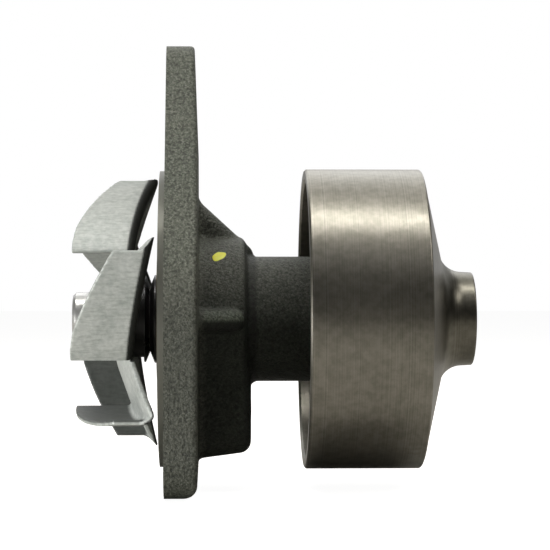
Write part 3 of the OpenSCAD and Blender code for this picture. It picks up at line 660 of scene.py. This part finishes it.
shaft = lathe("shaft_ground", [
    (0, SHAFT_START + 1.8), (1.6, SHAFT_START + 1.1), (2.5, SHAFT_START), (6.96, SHAFT_START),
    (7.1, SHAFT_START + 0.05), (7.9, SHAFT_START + 0.9), (SHAFT_R, SHAFT_START + 1.1), (SHAFT_R, SHAFT_END - 1.0),
    (6.96, SHAFT_END), (2.5, SHAFT_END), (1.6, SHAFT_END - 1.1), (0, SHAFT_END - 1.8)], steps=128, sharp=20)
shaft.data.materials.append(SHAFT)
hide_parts("pump_shaft")
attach(shaft, "rotor")

# Pieces that keep their CAD shape
finishes = {
    "flange_seal_ring": RUBBER, "weep_filter": FILTER, "vent_plug": SATIN,
    "bearing_outer_race": SHAFT, "bearing_seal_engine_side": RUBBER, "bearing_seal_pulley_side": RUBBER,
    "bearing_balls": SHAFT, "ball_cage": BRASS, "bearing_rollers": SHAFT, "roller_cage": BRASS,
    "seal_cup": CUP, "seal_bellows": RUBBER, "seal_spring": SATIN, "seal_retainer": SATIN,
    "seal_carbon_ring": CARBON, "seal_mating_ring": CERAMIC, "mating_ring_cup": MOULDED,
    "seal_sleeve": SATIN, "water_slinger": SATIN, "impeller_bush": CARBON}
for name, mat in finishes.items():
    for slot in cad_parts[name].material_slots:
        slot.material = mat

# The bellows and spring are copied as separate pieces on the pump body, in place of the CAD ones
for name, keep in (("seal_bellows", 0.863), ("seal_spring", 0.835)):
    soft = link(bpy.data.objects.new(name + "_flexing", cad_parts[name].data.copy()))
    soft.data.materials.clear()
    soft.data.materials.append(finishes[name])
    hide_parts(name)
    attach(soft, "pump_body")
    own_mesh(soft)

# A dab of inspection paint on the near side of the barrel
DAB_X, DAB_Z, DAB_LONG, DAB_HIGH, DAB_TILT, DAB_LIFT = 15.6, 18.7, 2.1, 1.35, 14.0, 0.16
dab = bpy.data.meshes.new("paint_dab")
bm = bmesh.new()
ring_count, around = 7, 40
tilt_cos, tilt_sin = math.cos(rad(DAB_TILT)), math.sin(rad(DAB_TILT))
rows = []
for i in range(ring_count):
    q = i / (ring_count - 1)
    row = []
    for k in range(around if i else 1):
        t = 2 * math.pi * k / around
        edge = 1 + 0.10 * math.sin(2 * t + 0.6) + 0.06 * math.sin(3 * t + 1.7) + 0.04 * math.sin(5 * t)
        px, pz = DAB_LONG * q * edge * math.cos(t), DAB_HIGH * q * edge * math.sin(t)
        px, pz = px * tilt_cos - pz * tilt_sin, px * tilt_sin + pz * tilt_cos
        rr = BARREL_R + DAB_LIFT * math.sqrt(max(0.0, 1 - q ** 3)) - 0.06 * (q == 1)
        cx, cz = DAB_X + px, min(DAB_Z + pz, rr - 0.01)
        s = cz / BARREL_R
        row.append(bm.verts.new((cx * MM, -rr * math.sqrt(max(0, 1 - s * s)) * MM, rr * s * MM)))
    rows.append(row)
for i in range(1, ring_count):
    for k in range(around):
        j = (k + 1) % around
        if i == 1:
            bm.faces.new((rows[0][0], rows[1][k], rows[1][j]))
        else:
            bm.faces.new((rows[i - 1][k], rows[i][k], rows[i][j], rows[i - 1][j]))
bmesh.ops.recalc_face_normals(bm, faces=bm.faces)
bm.to_mesh(dab)
bm.free()
for poly in dab.polygons:
    poly.use_smooth = True
paint = link(bpy.data.objects.new("paint_dab", dab))
paint.data.materials.append(PAINT)
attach(paint, "pump_body")

# Floor, backdrop and light
FLOOR_Z, FLOOR_HALF = -0.0505, 3.0
corners = [(x * FLOOR_HALF, y * FLOOR_HALF, FLOOR_Z) for x, y in ((-1, -1), (1, -1), (1, 1), (-1, 1))]
floor_mesh = bpy.data.meshes.new("floor")
floor_mesh.from_pydata(corners, [], [(0, 1, 2, 3)])
floor = link(bpy.data.objects.new("floor", floor_mesh))
ground = bpy.data.materials.new("pale_floor")
ground.use_nodes = True
tree = ground.node_tree
for node in list(tree.nodes):
    tree.nodes.remove(node)
out = tree.nodes.new("ShaderNodeOutputMaterial")
diffuse = tree.nodes.new("ShaderNodeBsdfDiffuse")
diffuse.inputs["Color"].default_value = (0.62, 0.60, 0.56, 1)
glow = tree.nodes.new("ShaderNodeEmission")
glow.inputs["Strength"].default_value = 0.96
path = tree.nodes.new("ShaderNodeLightPath")
blend = tree.nodes.new("ShaderNodeMixShader")
lit = tree.nodes.new("ShaderNodeAddShader")
tree.links.new(path.outputs["Is Camera Ray"], blend.inputs["Fac"])
tree.links.new(diffuse.outputs[0], blend.inputs[1])
tree.links.new(diffuse.outputs[0], lit.inputs[0])
tree.links.new(glow.outputs[0], lit.inputs[1])
tree.links.new(lit.outputs[0], blend.inputs[2])
tree.links.new(blend.outputs[0], out.inputs["Surface"])
floor.data.materials.append(ground)

# White where the camera looks, a soft sheet behind the part for what it mirrors, and near dark elsewhere
world = bpy.data.worlds.new("studio")
bpy.context.scene.world = world
world.use_nodes = True
tree = world.node_tree
back = tree.nodes["Background"]
back.inputs["Color"].default_value = (1, 1, 1, 1)
path = tree.nodes.new("ShaderNodeLightPath")
sky = tree.nodes.new("ShaderNodeTexCoord")
split = tree.nodes.new("ShaderNodeSeparateXYZ")
behind = tree.nodes.new("ShaderNodeMapRange")
behind.inputs["From Min"].default_value = 0.25
behind.inputs["From Max"].default_value = 0.75
behind.inputs["To Max"].default_value = 0.5
tree.links.new(sky.outputs["Generated"], split.inputs[0])
tree.links.new(split.outputs["Y"], behind.inputs["Value"])


def world_math(how, a, b):
    node = tree.nodes.new("ShaderNodeMath")
    node.operation = how
    for i, v in enumerate((a, b)):
        if isinstance(v, float):
            node.inputs[i].default_value = v
        else:
            tree.links.new(v, node.inputs[i])
    return node.outputs[0]


shiny = world_math("MAXIMUM", path.outputs["Is Glossy Ray"], path.outputs["Is Transmission Ray"])
mirrored = world_math("MULTIPLY", shiny, behind.outputs["Result"])
seen = world_math("MAXIMUM", path.outputs["Is Camera Ray"], mirrored)
tree.links.new(world_math("MAXIMUM", seen, 0.01), back.inputs["Strength"])


def lamp(name, place, aim, energy, width, height, colour=(1, 1, 1)):
    light = bpy.data.lights.new(name, "AREA")
    light.shape = "RECTANGLE"
    light.size, light.size_y = width, height
    light.energy = energy
    light.color = colour
    ob = link(bpy.data.objects.new(name, light))
    ob.location = place
    ob.rotation_euler = (Vector(aim) - Vector(place)).to_track_quat("-Z", "Y").to_euler()


lamp("overhead", (0.0, 0.10, 0.75), (0.03, 0, 0), 1.4, 0.9, 0.6, (1.0, 0.99, 0.96))
lamp("overhead_strip", (0.03, -0.13, 0.75), (0.03, 0, 0), 3.2, 0.8, 0.10, (1.0, 0.98, 0.95))
lamp("overhead_back", (0.0, 0.60, 0.50), (0.03, 0, 0), 1.9, 0.9, 0.5)
lamp("overhead_front", (0.0, -0.50, 0.62), (0.03, 0, 0), 0.2, 0.8, 0.3)
lamp("left_low", (-0.70, -0.50, -0.03), (0.0, 0, 0), 7.0, 0.4, 0.04)
lamp("right_up", (0.60, -0.30, 0.60), (0.06, 0, 0), 0.9, 0.3, 0.3, (1.0, 0.97, 0.93))

# Camera: level, standing a little toward the engine side
CAMERA_TURN, CAMERA_DISTANCE, LOOK_X, LOOK_Z = 0.032, 0.615, 0.0326, 0.0132
camera = bpy.data.cameras.new("camera")
camera.lens = 133.5
camera.sensor_width = 36
camera_ob = link(bpy.data.objects.new("camera", camera))
camera_ob.location = (
    LOOK_X - CAMERA_DISTANCE * math.sin(CAMERA_TURN), -CAMERA_DISTANCE * math.cos(CAMERA_TURN), LOOK_Z)
camera_ob.rotation_euler = (math.pi / 2, 0, -CAMERA_TURN)
bpy.context.scene.camera = camera_ob
bpy.context.scene.view_settings.view_transform = "Standard"
